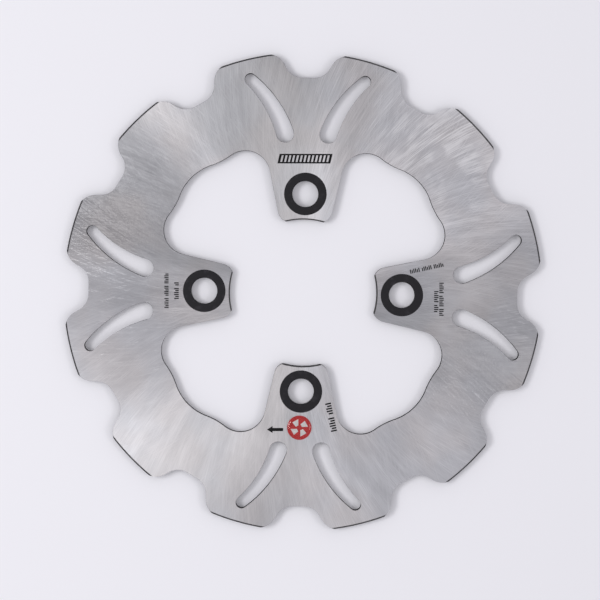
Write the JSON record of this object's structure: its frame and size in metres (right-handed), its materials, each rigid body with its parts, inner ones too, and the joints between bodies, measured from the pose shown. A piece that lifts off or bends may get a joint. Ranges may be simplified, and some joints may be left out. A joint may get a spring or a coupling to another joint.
{
  "type": "brake disc",
  "caption": "Flat one-piece brake disc with a wavy petal rim, curved slots, scalloped windows, inward bolt lugs, black bolt seats, printed marks and a round domed badge.",
  "frame": {"origin": "centre of the disc on its hub face, where the axle line meets the face that bears on the wheel hub", "axes": "+Z along the axle line, away from the hub, out of the marked face; +X, +Y, -X and -Y each run along one bolt lug, with the name plate print on the +Y lug and the badge on the -Y lug"},
  "size_m": [0.237, 0.237, 0.0056],
  "materials": {
    "ground_steel": "ground with fine curved lines from bore to rim, bright, no paint",
    "black_coat": "matt black baked coat",
    "black_ink": "flat black printing ink",
    "badge_red": "printed red vinyl under clear resin",
    "badge_white": "printed white vinyl under clear resin",
    "clear_resin": "clear polished polyurethane resin"
  },
  "bodies": {
    "root": {"rotor": "ground_steel", "seat_coat_right": "black_coat", "seat_coat_top": "black_coat", "seat_coat_left": "black_coat", "seat_coat_bottom": "black_coat", "badge_label": "badge_red", "badge_emblem": "badge_white", "badge_dome": "clear_resin", "name_plate_print": "black_ink", "arrow_print": "black_ink", "bottom_code_print": "black_ink", "left_code_print": "black_ink", "right_code_print": "black_ink"}
  },
  "joints": []
}
